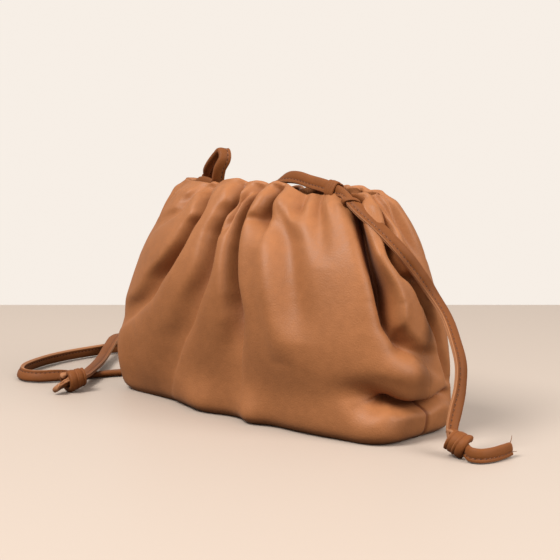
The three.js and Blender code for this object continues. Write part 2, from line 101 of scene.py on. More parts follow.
def leather_material(name, light, dark, folded, cut, roughness, shine, grain_size, grain_depth):
    material, tree = new_material(name)
    link = tree.links.new
    where = add_node(tree, "ShaderNodeTexCoord").outputs["Object"]
    drift = noise_at(tree, where, scale=17.0, detail=3.0, roughness=0.55)
    mottle = noise_at(tree, where, scale=160.0, detail=5.0, roughness=0.6)
    hide = mix_colours(tree, spread(tree, drift, 0.3, 0.7), dark, light)
    speckle = spread(tree, mottle, 0.35, 0.65, 0.94, 1.04)
    shade = add_node(tree, "ShaderNodeCombineColor")
    for channel in ("Red", "Green", "Blue"):
        link(speckle, shade.inputs[channel])
    hide = mix_colours(tree, 1.0, hide, shade.outputs["Color"], "MULTIPLY")
    # Painted shade: a number on each point mixes towards the folded colour in creases, along seams, in
    # stitch grooves and in the knot's core
    for attribute, colour in (("fold_depth", folded), ("cut_edge", cut)):
        share = add_node(tree, "ShaderNodeAttribute", {"attribute_name": attribute})
        hide = mix_colours(tree, share.outputs["Fac"], hide, colour)
    cells = add_node(tree, "ShaderNodeTexVoronoi", {"feature": "SMOOTH_F1"}, Scale=1 / grain_size,
                     Smoothness=0.6)
    link(where, cells.inputs["Vector"])
    pores = noise_at(tree, where, scale=2.6 / grain_size, detail=3.0, roughness=0.6)
    wrinkles = noise_at(tree, where, scale=0.22 / grain_size, detail=4.0, roughness=0.6, distortion=0.8)
    relief = cells.outputs["Distance"]
    for texture, amount in ((pores, 0.5), (wrinkles, 1.8)):
        added = add_node(tree, "ShaderNodeMath", {"operation": "MULTIPLY_ADD"})
        added.inputs[1].default_value = amount
        link(texture, added.inputs[0])
        link(relief, added.inputs[2])
        relief = added.outputs["Value"]
    bump = add_node(tree, "ShaderNodeBump", Strength=0.6, Distance=grain_depth)
    link(relief, bump.inputs["Height"])
    shader = add_node(tree, "ShaderNodeBsdfPrincipled", Metallic=0.0, Specular_IOR_Level=shine,
                      Sheen_Weight=0.03, Sheen_Roughness=0.45)
    link(hide, shader.inputs["Base Color"])
    link(spread(tree, mottle, 0.3, 0.7, roughness - 0.05, roughness + 0.06), shader.inputs["Roughness"])
    link(bump.outputs["Normal"], shader.inputs["Normal"])
    show_surface(tree, shader)
    return material


body_leather = leather_material(
    "body_leather", light=(0.37, 0.142, 0.050, 1), dark=(0.315, 0.118, 0.040, 1),
    folded=(0.15, 0.040, 0.012, 1), cut=(0.36, 0.17, 0.09, 1),
    roughness=0.52, shine=0.3, grain_size=0.9 * MM, grain_depth=0.12 * MM)

# Front and back panels
# Two pieces of leather, seamed at the ends and along the middle of the base, gathered at the
# mouth so that deep drapes run down them. The top edge is turned in as a soft rolled hem.
RIM_HEIGHT = 140.0
HALF_PANEL = 147.5
WHOLE_GIRTH = 4 * HALF_PANEL
END_TAPER = 0.08
WALL = 1.6
HEM_THICKNESS = 3.4
HEM_FROM = 126.0
HEM_EASE = 3.0
PANEL_GAP = 0.06
MOUTH_HALF_GAP = 5.0
MOUTH_SHARE = 0.85
OUTLINE_STEPS = 400
# height, half length, half depth, squareness and shift of each section of the unfolded form
SECTIONS = np.array([
    (0, 115, 36, 4.6, 0), (3, 120, 40.5, 4.2, 0), (10, 122.5, 43, 3.9, 0), (25, 123.5, 45, 3.5, 0),
    (45, 122.5, 48, 3.1, 0.3), (65, 119.5, 50, 2.8, 1), (85, 115.5, 49, 2.5, 2.2),
    (105, 109, 43, 2.4, 3.2), (122, 101, 33, 2.2, 3.2), (134, 92.5, 22, 2.1, 2.6),
    (140, 87, 16, 2.0, 2.6),
])
# Each fold: side of the lobe that laps over (1 the side of more girth, -1 the other, 0 neither),
# width of its rolled edge, how far the edge laps, then rows of (height, girth, depth, width of
# the slope) from its foot to the rim. Girth 0 is the middle of the front.
FOLDS = {
    "far_front_corner": (1, 7, 0.5, [
        (78, -126, 0, 12), (95, -118, 1.5, 12), (112, -116, 3, 11), (128, -120, 4.5, 9), (140, -128, 4, 8)]),
    "front_far_gather": (1, 6, 1, [
        (90, -108, 0, 16), (106, -95, 1, 14), (116, -83, 2, 12), (124, -77, 3.5, 10), (132, -83, 5, 8),
        (140, -87, 4, 7)]),
    "front_far_drape": (1, 8, 1.5, [
        (30, -112, 0, 20), (42, -95, 2, 17), (53, -81, 4, 15), (65, -69, 6.5, 13.5), (80, -62, 10, 12),
        (92, -56, 13.5, 10), (103, -52, 14.5, 9.5), (114, -51, 14.5, 9), (122, -49, 14, 8),
        (132, -56, 11, 7.5), (140, -65, 5, 7)]),
    "front_left_drape": (1, 7, 1.5, [
        (0, -50, 2, 20), (10, -45, 2.5, 19), (24, -38, 3, 18), (39, -30, 3.8, 17), (53, -22, 5, 15),
        (70, -17, 7.2, 13), (86, -14, 10.5, 10.5), (97, -15, 13, 9.5), (110, -19, 15, 9),
        (116, -21, 15.5, 8.5), (122, -21, 16.5, 8), (130, -18, 14.5, 7.5), (140, -23, 7, 7)]),
    "front_pinch": (0, 0, 0, [
        (111, -17, 0, 4), (116, -16, 4, 3.2), (122, -15, 7, 2.8), (130, -14.5, 7, 2.8), (140, -10, 4, 2.8)]),
    "front_middle_drape": (1, 8, 2, [
        (6, 26, 0, 22), (26, 25, 2, 18), (38, 24, 4, 16), (46, 23, 6, 14), (56, 22, 9, 12),
        (66, 20, 12.5, 10.5), (78, 15, 16.5, 9), (88, 11, 17.5, 8.5), (98, 7.5, 18, 8), (108, 4, 18, 7),
        (116, 2, 16, 6.5), (126, 1.5, 15, 5.5), (133, 4, 12, 5), (140, 9, 6, 5)]),
    "front_dimple": (1, 6, 1.5, [
        (108, 38, 0, 12), (114, 35, 3, 12), (120, 31, 9, 11), (124, 27, 15, 9), (128, 25, 18.5, 8.5),
        (132, 25.5, 19, 8), (136, 27, 14, 7), (140, 30, 7, 7)]),
    "front_soft_valley": (0, 0, 0, [
        (56, 63, 0, 12), (77, 59, 4, 11), (91, 55, 5, 11), (110, 48, 6, 11), (122, 38, 5, 9),
        (130, 33, 0, 8)]),
    "front_soft_ridge": (0, 0, 0, [
        (42, 52, 0, 10), (58, 49, -3, 10), (78, 42, -4, 10), (95, 37, -4, 10), (112, 32, -3, 10),
        (125, 28, 0, 10)]),
    "front_pucker": (0, 0, 0, [(124, 51, 0, 8), (132, 51, 7, 7), (140, 51, 6, 6)]),
    "front_near_gather": (0, 0, 0, [(100, 79, 0, 9), (120, 75, 4, 8), (130, 72, 6, 7), (140, 70, 7, 6)]),
    "near_tuck": (-1, 8, 4, [
        (30, 144, 0, 8), (38, 135, 2.5, 9), (46, 127, 5, 11), (53, 120, 8, 12), (58, 117, 10.5, 11),
        (63, 115, 13, 10), (68, 113.5, 16, 10), (76, 112.5, 18.5, 11), (84, 111.5, 20, 11),
        (96, 109.5, 21, 10), (104, 107.5, 21, 9), (114, 105.5, 21, 8), (124, 103.5, 19, 7),
        (133, 102.5, 15, 7), (140, 99, 8, 8)]),
    "near_end_crease": (-1, 5, 2, [
        (26, 168, 0, 5), (34, 164, 5, 4.5), (46, 159, 7, 4.5), (59, 156, 8, 4.5), (70, 151, 9, 5),
        (84, 145, 10, 6), (92, 139, 11, 7), (98, 131, 11, 7.5), (108, 125, 11, 8), (117, 126, 9.5, 7.5),
        (125, 129.5, 8, 7), (140, 133, 6, 6)]),
    "near_end_gather": (0, 0, 0, [
        (88, 164, 0, 8), (100, 156, 2.5, 7), (110, 151, 5, 5.5), (120, 148, 6.5, 4.8), (130, 145.5, 7, 4.5),
        (140, 144, 5, 4.5)]),
    "back_near_corner": (-1, 6, 0.5, [
        (68, 166, 0, 12), (92, 165, 6, 10), (110, 166, 10, 10), (125, 169, 12, 9), (140, 170, 9, 8)]),
    "back_near_gather": (-1, 7, 1, [
        (54, 210, 0, 12), (82, 203, 9, 10), (105, 198, 13, 10), (124, 196, 14, 9), (140, 195, 10, 7)]),
    "back_near_drape": (-1, 8, 1.5, [
        (0, 250, 0, 18), (22, 244, 4, 17), (52, 236, 10, 15), (80, 232, 15, 13), (105, 230, 18, 12),
        (125, 226, 16, 10), (140, 222, 10, 7)]),
    "back_small_gather": (1, 5, 1, [
        (86, 258, 0, 11), (108, 256, 8, 9), (126, 252, 11, 8), (140, 250, 9, 6)]),
    "back_middle_drape": (1, 8, 1.5, [
        (6, 290, 0, 19), (30, 288, 6, 17), (58, 282, 12, 15), (84, 276, 17, 13), (108, 274, 19, 11),
        (126, 276, 16, 9), (140, 280, 10, 6)]),
    "back_middle_gather": (1, 6, 0.5, [
        (82, 304, 0, 11), (104, 306, 8, 9), (124, 308, 11, 8), (140, 306, 9, 6)]),
    "back_far_drape": (-1, 8, 1.5, [
        (6, 358, 0, 20), (26, 352, 3, 18), (54, 342, 9, 15), (80, 334, 14, 13), (105, 330, 17, 12),
        (125, 332, 16, 10), (140, 335, 10, 7)]),
    "back_far_gather": (1, 6, 0.5, [
        (78, 364, 0, 11), (104, 366, 8, 9), (124, 364, 11, 8), (140, 362, 9, 6)]),
    "back_far_corner": (1, 7, 1, [
        (20, 408, 0, 14), (46, 402, 4, 12), (78, 394, 10, 10), (104, 390, 13, 10), (124, 388, 13, 9),
        (140, 386, 9, 7)]),
    "far_tuck": (-1, 7, 2, [
        (30, 430, 0, 12), (58, 423, 7, 11), (80, 418, 11, 11), (104, 414, 12, 10), (124, 412, 11, 9),
        (140, 410, 8, 8)]),
}
# The sag over the foot at the near end, with rows of (girth, height, depth, width of the slope)
SAG = (1, 6, 4, [
    (92, 30, 0, 9), (104, 32, 4, 9), (112, 31, 9, 8), (118, 29.5, 12, 7), (125, 26.5, 13.5, 7),
    (133, 24.5, 14, 6.5), (141, 24, 14, 6.5), (149, 23.5, 14, 6.5), (156, 25, 13.5, 6),
    (163, 27.5, 11.5, 5.5), (170, 30, 7, 6), (180, 34, 0, 7)])
SAG_MIDDLE = 132.0
# girth and height along the curved ridge of leather that closes the tuck at the near end
RIDGE = np.array([(120, 107), (122, 101), (126, 93), (129, 85), (130, 77), (128.5, 70), (125, 65)])
RIDGE_HEIGHT = 3.0
RIDGE_WIDTH = 4.6
RIDGE_STEPS = 60
# girth, height, half width, half height and depth of each dent
DENTS = {
    "near_corner_hollow": (109, 29, 17, 8, 8),
    "tuck_upper_pocket": (120, 87, 6, 8, 6.5),
    "tuck_swelling": (124, 73, 6, 6, -2),
    "tuck_lower_pocket": (127, 55, 7, 5, 3),
    "near_end_belly": (135, 40, 16, 10, -4),
    "front_near_belly": (58, 46, 36, 20, -3.5),
    "front_foot_left": (-26, 3, 17, 14, -6),
    "front_foot_middle": (20, 3, 11, 14, -6.5),
    "front_foot_near": (60, 3, 40, 14, -2.2),
    "near_front_foot": (112, 5, 16, 16, -4.5),
    "far_front_foot": (-86, 3, 24, 14, 3),
    "far_front_belly": (-119, 32, 15, 30, -4.5),
}
# girth and lift of the gathered rim
RIM_LIFTS = np.array([
    (-147.5, 2.2), (-123, 1.2), (-99, 1.6), (-88, 1.4), (-70, 3.4), (-47, 5.8), (-30, 5.6), (-17, 4.8),
    (0, 5.4), (28, 5), (40, 2.5), (52, 0.5), (62, 1.2), (80, 1.5), (105, 1), (147.5, 3), (177, 4),
    (200, 6.5), (222, 4.5), (250, 4.5), (295, 2), (380, 2), (442.5, 2.5)])
LIFT_FROM = 105.0


def smooth_step(share):
    s = np.clip(share, 0, 1)
    return s * s * (3 - 2 * s)


def signed_power(value, power):
    return np.sign(value) * np.abs(value) ** power


def unit(vectors):
    """One vector, or each of an array of them, at length 1."""
    vectors = np.asarray(vectors, float)
    return vectors / np.linalg.norm(vectors, axis=-1, keepdims=True)


def run_lengths(points):
    """Length from the start of a line to each of its points."""
    return np.concatenate([[0], np.cumsum(np.linalg.norm(np.diff(points, axis=0), axis=1))])


def slopes_of(places, values):
    """Slope of a smooth curve at each of its places."""
    k = np.arange(len(places))
    low, high = np.maximum(k - 1, 0), np.minimum(k + 1, k[-1])
    spans = places[high] - places[low]
    return (values[high] - values[low]) / spans.reshape((-1,) + (1,) * (values.ndim - 1))


def curve_parts(places, place):
    """Span of each place, and the shares of the span's two values and two slopes."""
    i = np.clip(np.searchsorted(places, place, side="right") - 1, 0, len(places) - 2)
    span = np.diff(places)[i]
    t = np.clip((place - places[i]) / span, 0, 1)
    return i, (1 - smooth_step(t), smooth_step(t), t * (1 - t) ** 2 * span, t * t * (t - 1) * span)


def through(places, values, place):
    """Smooth curve through the values at the given places, which rise."""
    slopes = slopes_of(places, values)
    i, parts = curve_parts(places, place)
    extra = (1,) * (values.ndim - 1)
    first, last, leaving, arriving = (part.reshape(part.shape + extra) for part in parts)
    return values[i] * first + values[i + 1] * last + slopes[i] * leaving + slopes[i + 1] * arriving


def outline_of(section):
    """Front half of a section, from the far seam to the near one in equal steps."""
    height, half_length, half_depth, squareness, shift = section
    angle = np.linspace(0, np.pi, 4 * OUTLINE_STEPS + 1)
    along = -signed_power(np.cos(angle), 2 / squareness)
    taper = 1 + END_TAPER * along * (1 - height / RIM_HEIGHT)
    depth = half_depth * np.abs(np.sin(angle)) ** (2 / squareness) * taper
    points = np.stack([half_length * along + shift, -depth], axis=1)
    lengths = run_lengths(points)
    even = np.linspace(0, lengths[-1], OUTLINE_STEPS + 1)
    return np.stack([np.interp(even, lengths, points[:, k]) for k in range(2)], axis=1)


OUTLINES = np.array([outline_of(section) for section in SECTIONS])
SECTION_HEIGHTS = SECTIONS[:, 0]
OUTLINE_SLOPES = slopes_of(SECTION_HEIGHTS, OUTLINES)


def form_points(girth, height):
    """Points of the unfolded form."""
    wrapped = (girth + HALF_PANEL) % WHOLE_GIRTH - HALF_PANEL
    on_back = wrapped > HALF_PANEL
    along = np.where(on_back, 2 * HALF_PANEL - wrapped, wrapped)
    place = np.clip((along / HALF_PANEL + 1) / 2, 0, 1) * OUTLINE_STEPS
    step = np.minimum(place.astype(int), OUTLINE_STEPS - 1)
    share = (place - step)[:, None]

    def spot(table, k):
        return table[k, step] * (1 - share) + table[k, step + 1] * share

    i, parts = curve_parts(SECTION_HEIGHTS, height)
    first, last, leaving, arriving = (part[:, None] for part in parts)
    level = spot(OUTLINES, i) * first + spot(OUTLINES, i + 1) * last
    level += spot(OUTLINE_SLOPES, i) * leaving + spot(OUTLINE_SLOPES, i + 1) * arriving
    return np.stack([level[:, 0], np.where(on_back, -level[:, 1], level[:, 1]), height], axis=1)


EDGE_SEEN_AT = 0.55
EDGE_SPREAD = 2.2
BANK_STEEPNESS = 1.4
PROBE = 0.5


def valley(fold, place, across):
    """Sink of one fold, and how far its rolled edge laps over."""
    side, edge, lap, rows = fold
    places, lines, depths, slopes = np.array(rows, float).T
    inside = place >= places[0]
    held = np.clip(place, places[0], places[-1])
    line = through(places, lines, held)
    depth = through(places, depths, held) * inside
    slope = through(places, slopes, held)
    slant = through(places, lines, held + PROBE) - through(places, lines, held - PROBE)
    offset = (across - line) / np.hypot(1, slant)
    if side == 0:
        return depth * np.exp(-(offset / slope) ** 2), np.zeros_like(depth)
    share = np.clip(depth / depths.max(), 0, 1)
    edge = edge * (1 + EDGE_SPREAD * (1 - share))
    beyond = side * offset + EDGE_SEEN_AT * edge - lap * share
    t = np.clip(beyond / edge, 0, 1)
    lobe = 1 - np.sqrt(1 - (1 - t) ** 2)
    bank = np.exp(-(np.maximum(-beyond, 0) / slope) ** (2 + BANK_STEEPNESS * share))
    sink = np.maximum(depth, 0) * np.where(beyond > 0, lobe, bank)
    return sink, -side * lap * share * np.sin(np.pi * t)


def girth_from(middle, girth):
    """The same girth, counted within half a round of the middle."""
    return (girth - middle + WHOLE_GIRTH / 2) % WHOLE_GIRTH - WHOLE_GIRTH / 2 + middle


def ridge_rise(girth, height):
    """Rise of the curved ridge in the tuck, by the distance to its line."""
    last = len(RIDGE) - 1
    line = through(np.arange(last + 1), RIDGE, np.linspace(0, last, RIDGE_STEPS))
    gaps = np.hypot(girth[:, None] - line[:, 0], height[:, None] - line[:, 1]).min(axis=1)
    return RIDGE_HEIGHT * np.exp(-(gaps / RIDGE_WIDTH) ** 2)


# small gathers under the rim, and how their pitch drifts
GATHER_PITCH = 9.5
GATHER_DEPTH = 0.6
GATHERS_FROM = 122.0
GATHER_RISE = 16.0
GATHER_DRIFT = 1.1
DRIFT_GIRTH = 17.0
# the end seam, which shows low down, and how far from it the folds start to lap
SEAM_DEPTH = 1.3
SEAM_HALF_WIDTH = 1.2
SEAM_TOP = 28.0
SEAM_FADE = 8.0
SEAM_HOLD = 7.0


def folds_at(girth, height):
    """How far the leather sinks at each place, and how far the folds shift it round and up."""
    hollows = np.zeros_like(girth)
    swells = np.zeros_like(girth)
    round_shift = np.zeros_like(girth)
    for fold in FOLDS.values():
        side, _, _, rows = fold
        sink, lap = valley(fold, height, girth_from(rows[-1][1], girth))
        if side == 0:
            swells += sink
        else:
            hollows += sink ** 2
        round_shift += lap
    sag_girth = girth_from(SAG_MIDDLE, girth)
    sink, drop = valley(SAG, sag_girth, height)
    reach = sag_girth <= SAG[3][-1][0]
    hollows += (sink * reach) ** 2
    for middle, level, half_width, half_height, depth in DENTS.values():
        swells += depth * np.exp(-((girth_from(middle, girth) - middle) / half_width) ** 2
                                 - ((height - level) / half_height) ** 2)
    sunk = np.sqrt(hollows) + swells - ridge_rise(girth_from(0, girth), height)
    wave = 2 * np.pi * girth / GATHER_PITCH + GATHER_DRIFT * np.sin(girth / DRIFT_GIRTH)
    sunk += GATHER_DEPTH * np.sin(wave) * smooth_step((height - GATHERS_FROM) / GATHER_RISE)
    seam = np.abs(np.abs(girth_from(0, girth)) - HALF_PANEL)
    low = smooth_step((SEAM_TOP - height) / SEAM_FADE)
    sunk += SEAM_DEPTH * low * np.exp(-(seam / SEAM_HALF_WIDTH) ** 2)
    return sunk, round_shift * (1 - np.exp(-(seam / SEAM_HOLD) ** 2)), drop * reach


MOUTH_SOFTNESS = 0.8
ROLL_FROM = 130.0
ROLL_IN = 3.0
SINK_TILT = 0.5
LEVEL_BELOW = 25.0


def leather_points(girth, height):
    """Points of the folded outer face, and how far each has sunk."""
    sunk, round_shift, up_shift = folds_at(girth, height)
    g = girth + round_shift
    h = np.clip(height + up_shift, 0, RIM_HEIGHT)
    points = form_points(g, h)
    side = np.where(points[:, 1] <= 0, -1, 1)
    kept = np.minimum(MOUTH_SHARE * np.abs(points[:, 1]), MOUTH_HALF_GAP)
    round_way = form_points(g + PROBE, h) - form_points(g - PROBE, h)
    up_way = form_points(g, np.minimum(h + PROBE, RIM_HEIGHT)) - form_points(g, np.maximum(h - PROBE, 0))
    outward = unit(np.cross(round_way, up_way))
    outward[:, 2] *= SINK_TILT * smooth_step(height / LEVEL_BELOW)
    outward = unit(outward)
    roll = ROLL_IN * smooth_step((height - ROLL_FROM) / (RIM_HEIGHT - ROLL_FROM)) ** 2
    points -= outward * (sunk + roll)[:, None]
    spare = side * points[:, 1] - kept
    points[:, 1] = side * (kept + MOUTH_SOFTNESS * np.logaddexp(0, spare / MOUTH_SOFTNESS))
    lift = through(RIM_LIFTS[:, 0], RIM_LIFTS[:, 1], girth_from(HALF_PANEL, girth))
    points[:, 2] += lift * smooth_step((height - LIFT_FROM) / (RIM_HEIGHT - LIFT_FROM))
    return points, sunk


COLUMNS = 330
ROWS = 140
FINE_COLUMNS = 1400
SEAM_CROWDING = 3.0
CROWDING_WIDTH = 4.0
EVENING_PASSES = 8


def even_girths(first, heights):
    """Girths that space the columns evenly over the folded leather, closer at the seams."""
    fine = np.linspace(first, first + 2 * HALF_PANEL, FINE_COLUMNS)
    points, _ = leather_points(np.tile(fine, len(heights)), np.repeat(heights, FINE_COLUMNS))
    points = points.reshape(len(heights), FINE_COLUMNS, 3)
    steps = np.linalg.norm(np.diff(points, axis=1), axis=2)
    middle = (fine[1:] + fine[:-1]) / 2
    ends = HALF_PANEL - np.abs(middle - first - HALF_PANEL)
    steps = steps * (1 + SEAM_CROWDING * np.exp(-(ends / CROWDING_WIDTH) ** 2))
    lengths = np.concatenate([np.zeros((len(heights), 1)), np.cumsum(steps, axis=1)], axis=1)
    shares = np.linspace(0, 1, COLUMNS + 1)
    even = np.array([np.interp(shares * row[-1], row, fine) for row in lengths])
    for _ in range(EVENING_PASSES):
        even[1:-1] = even[1:-1] / 2 + (even[:-2] + even[2:]) / 4
    return even


def soften(points, times):
    for _ in range(times):
        inner = points[1:-1, 1:-1]
        around = points[:-2, 1:-1] + points[2:, 1:-1] + points[1:-1, :-2] + points[1:-1, 2:]
        points[1:-1, 1:-1] = inner / 2 + around / 8
    return points


def grid_normals(points):
    return unit(np.cross(np.gradient(points, axis=1), np.gradient(points, axis=0)))


def add_object(name, data):
    made = bpy.data.objects.new(name, data)
    bpy.context.scene.collection.objects.link(made)
    return made


def mesh_object(name, points, faces, material, numbers=None):
    """Object of a mesh in millimetres, with smooth faces and named numbers on its points."""
    mesh = bpy.data.meshes.new(name)
    mesh.from_pydata((np.asarray(points) * MM).tolist(), [], [tuple(map(int, face)) for face in faces])
    for attribute, values in (numbers or {}).items():
        layer = mesh.attributes.new(attribute, "FLOAT", "POINT")
        layer.data.foreach_set("value", np.asarray(values, np.float32))
    mesh.materials.append(material)
    mesh.polygons.foreach_set("use_smooth", np.ones(len(mesh.polygons), bool))
    mesh.update()
    return add_object(name, mesh)


WALL_SMOOTHING = 3
NORMAL_SMOOTHING = 6
RIM_SMOOTHING = 40
RIM_SMOOTHING_ROWS = 6
# painted shade along the end seam, low down
SEAM_SHADE = 14.0
SEAM_SHADE_WIDTH = 0.9
SEAM_SHADE_FADE = 6.0


def panel_wall(first, heights, side):
    """Outer face of a panel as a grid of points, and how far each has sunk, with painted shade added along
    the low seam.
    """
    girths = even_girths(first, heights)
    wall, sunk = leather_points(girths.ravel(), np.repeat(heights, COLUMNS + 1))
    wall = wall.reshape(ROWS + 1, COLUMNS + 1, 3)
    wall[:, [0, -1], 1] = 0
    wall = soften(wall, WALL_SMOOTHING)
    for turn in range(RIM_SMOOTHING):
        low = ROWS - int(RIM_SMOOTHING_ROWS * (1 - turn / RIM_SMOOTHING))
        wall[low:, 1:-1] = wall[low:, 1:-1] / 2 + (wall[low:, :-2] + wall[low:, 2:]) / 4
    wall[..., 1] += side * PANEL_GAP / 2
    ends = HALF_PANEL - np.abs(girths - first - HALF_PANEL)
    shade = SEAM_SHADE * np.exp(-(ends / SEAM_SHADE_WIDTH) ** 2)
    shade *= smooth_step((SEAM_TOP - heights) / SEAM_SHADE_FADE)[:, None]
    return wall, sunk.reshape(ROWS + 1, COLUMNS + 1) + shade


ROLL_ROWS = 7


def rolled_rim(wall, lining, outward):
    """Rows of the rolled hem, from the outer face over the rim to the inner face."""
    rising = wall[-1] - wall[-4]
    rising -= outward * (rising * outward).sum(axis=1)[:, None]
    rising = unit(rising)
    middle = (wall[-1] + lining[-1]) / 2
    angles = np.linspace(0, np.pi, ROLL_ROWS + 2)[1:-1, None, None]
    return middle + (outward * np.cos(angles) + rising * np.sin(angles)) * HEM_THICKNESS / 2


# rows across the half of the base, and how much painted shade darkens the leather where it has sunk and over
# its inner face
BASE_SHARES = (0.0, 0.25, 0.5, 0.75)
BASE_HALF_LENGTH = SECTIONS[0, 1]
INSIDE_SHADE = 8.0
DARK_FROM = 5.0
DARK_OVER = 14.0
DARKEST = 0.85
SHARP_FROM = math.radians(55)


def panel(name, first, side):
    """One panel as a closed skin: half of the base, outer face, rolled hem and inner face."""
    heights = np.linspace(0, RIM_HEIGHT, ROWS + 1)
    wall, sunk = panel_wall(first, heights, side)
    normals = unit(soften(grid_normals(wall), NORMAL_SMOOTHING))
    hem = smooth_step((heights - HEM_FROM) / HEM_EASE)
    lining = wall - normals * (WALL + (HEM_THICKNESS - WALL) * hem)[:, None, None]
    lining[:, [0, -1], 1] = wall[:, [0, -1], 1]
    roll = rolled_rim(wall, lining, normals[-1])
    shorter = [1 - WALL / BASE_HALF_LENGTH, 1, 1]
    base = np.array([wall[0] * [1, share, 1] for share in BASE_SHARES])
    base[..., 1] += side * PANEL_GAP / 2
    inner_base = base * shorter + [0, 0, WALL]
    lining[0] = wall[0] * shorter + [0, 0, WALL] - normals[0] * [0, WALL, 0]
    skin = np.concatenate([base, wall, roll, lining[::-1], inner_base[::-1]])
    count = len(skin)
    half = len(base) + len(wall)
    deep = np.zeros((count, COLUMNS + 1))
    deep[len(base):half] = sunk
    deep[half + ROLL_ROWS:] = INSIDE_SHADE
    at = np.arange(count * (COLUMNS + 1)).reshape(count, COLUMNS + 1)
    above = np.roll(at, -1, axis=0)
    faces = np.stack([at[:, :-1], at[:, 1:], above[:, 1:], above[:, :-1]], axis=-1).reshape(-1, 4)
    ends = []
    for i in range(half - 1):
        j = count - 1 - i
        ends.append((at[i + 1, 0], at[j - 1, 0], at[j, 0], at[i, 0]))
        ends.append((at[i, -1], at[j, -1], at[j - 1, -1], at[i + 1, -1]))
    ends.append(tuple(at[half - 1:half + ROLL_ROWS + 1, 0]))
    ends.append(tuple(at[half - 1:half + ROLL_ROWS + 1, -1][::-1]))
    # Painted shade: darker where the leather sinks into folds, along the low seam and over the inner face
    numbers = {"fold_depth": np.clip((deep.ravel() - DARK_FROM) / DARK_OVER, 0, DARKEST)}
    piece = mesh_object(name, skin.reshape(-1, 3), [*faces, *ends], body_leather, numbers)
    piece.data.set_sharp_from_angle(angle=SHARP_FROM)
    return piece


panels = [panel("front_leather", -HALF_PANEL, -1), panel("back_leather", HALF_PANEL, 1)]
for piece, node in zip(panels, ("front_panel", "back_panel")):
    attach(piece, "root")
    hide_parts(node)

# Near strap
# A strip of the same leather folded along its length over itself and stitched, so one edge is a
# round fold and the other shows two raw layers. It comes out of the mouth, runs down the near
# end of the pouch and ends in a knot beside the foot.
strap_leather = leather_material(
    "strap_leather", light=(0.215, 0.071, 0.020, 1), dark=(0.18, 0.058, 0.016, 1),
    folded=(0.13, 0.036, 0.011, 1), cut=(0.42, 0.19, 0.09, 1),
    roughness=0.54, shine=0.12, grain_size=0.7 * MM, grain_depth=0.08 * MM)
# x, y, z of the strap's middle, the way its width faces, and its width
NEAR_STRAP = np.array([
    (-8, 10, 127, 1, 0, 0, 8), (-6, 5.5, 137.5, 1, 0.2, 0.3, 8), (0.5, 3.8, 143.8, 0.7, 0.6, 0.6, 8),
    (10, 1.4, 146.6, 0.3, 0.5, 0.8, 8), (19.5, 0, 146.8, 0.21, 0.38, 0.9, 8),
    (30, -2.2, 145.4, 0.21, 0.38, 0.9, 8), (45, -4.6, 143.6, 0.21, 0.38, 0.9, 8),
    (54, -6.6, 142, 0.21, 0.38, 0.9, 7.4), (60.5, -8, 140.9, 0.2, 0.4, 0.9, 6.6),
    (66, -10.1, 139.6, 0.2, 0.8, 0.6, 5.4), (74, -13.6, 136, 0.2, 0.9, 0.5, 6),
    (82.3, -14, 131.3, 0.3, 0.9, 0.4, 8), (95.8, -13, 122.2, 0.4, 0.9, 0.2, 8),
    (108.5, -9.5, 110.5, 0.4, 0.9, 0.1, 8), (115.4, -0.8, 96.7, 0.3, 0.95, 0, 8),
    (121, 6, 83.4, 0.1, 0.98, 0, 8), (130.2, 6.4, 72, 0, 0.98, 0, 8), (140, 1.4, 61.2, 0, 0.99, 0, 8),
    (149, -4, 48, 0.1, 0.99, 0, 8), (152.6, -9.3, 35, 0.15, 0.98, 0, 8), (155, -15.8, 25, 0.3, 0.95, 0, 8),
    (157, -21.5, 16.1, 0.4, 0.9, 0, 7), (158.6, -23.2, 10.5, 0.4, 0.9, 0, 6)])
NEAR_TAIL = np.array([
    (165.5, -21.8, 6.6, 0.1, 0.25, 1, 5.6), (170.6, -25.2, 5.2, 0.1, 0.25, 1, 7),
    (175.4, -27.6, 4.6, 0, 0.25, 1, 8), (180.2, -25.8, 4.4, -0.2, 0.15, 1, 8),
    (182.9, -18.5, 4.4, -0.25, 0, 1, 8), (183, -9.5, 4.4, -0.25, 0, 1, 8),
    (182.3, -1.5, 4.5, -0.25, -0.05, 1, 7.4)])
STRAP_WIDTH = 8.0
STRAP_STEP = 1.3
SHORT_STEP = 0.8
FINE_STEP = 0.2
STITCH_PITCH = 3.1
# share of the half width and height over the middle, from the folded edge to the raw one
STRAP_SECTION = np.array([
    (1.0, 0.0), (0.975, 0.72), (0.88, 1.32), (0.68, 1.72), (0.4, 1.85), (0.1, 1.82), (-0.2, 1.62),
    (-0.37, 1.28), (-0.45, 1.05), (-0.51, 1.14), (-0.6, 1.32), (-0.72, 1.36), (-0.87, 1.3), (-0.96, 1.12),
    (-1.0, 0.85), (-0.985, 0.3), (-0.9, 0.0)])
GROOVE = 8
GROOVE_SHADE = 0.55
LAYER_SHADE = 0.9
CUT_FROM = 13
CUT_PALENESS = 0.75
END_PALENESS = 0.8
PUCKER = 0.1
SQUEEZE_FREE = 0.1


def strap_frames(route, step=STRAP_STEP):
    """Places, ways across and up, widths and lengths along a smooth strap through its route."""
    places = route[:, :3]
    marks = run_lengths(places)
    fine = np.linspace(0, marks[-1], max(int(marks[-1] / FINE_STEP), 8))
    lengths = run_lengths(through(marks, places, fine))
    even = np.linspace(0, lengths[-1], max(int(round(lengths[-1] / step)), 4) + 1)
    along = np.interp(even, lengths, fine)
    place = through(marks, places, along)
    ahead = unit(np.gradient(place, axis=0))
    across = through(marks, route[:, 3:6], along)
    across = unit(across - ahead * (across * ahead).sum(axis=1)[:, None])
    return place, across, np.cross(ahead, across), through(marks, route[:, 6], along), even


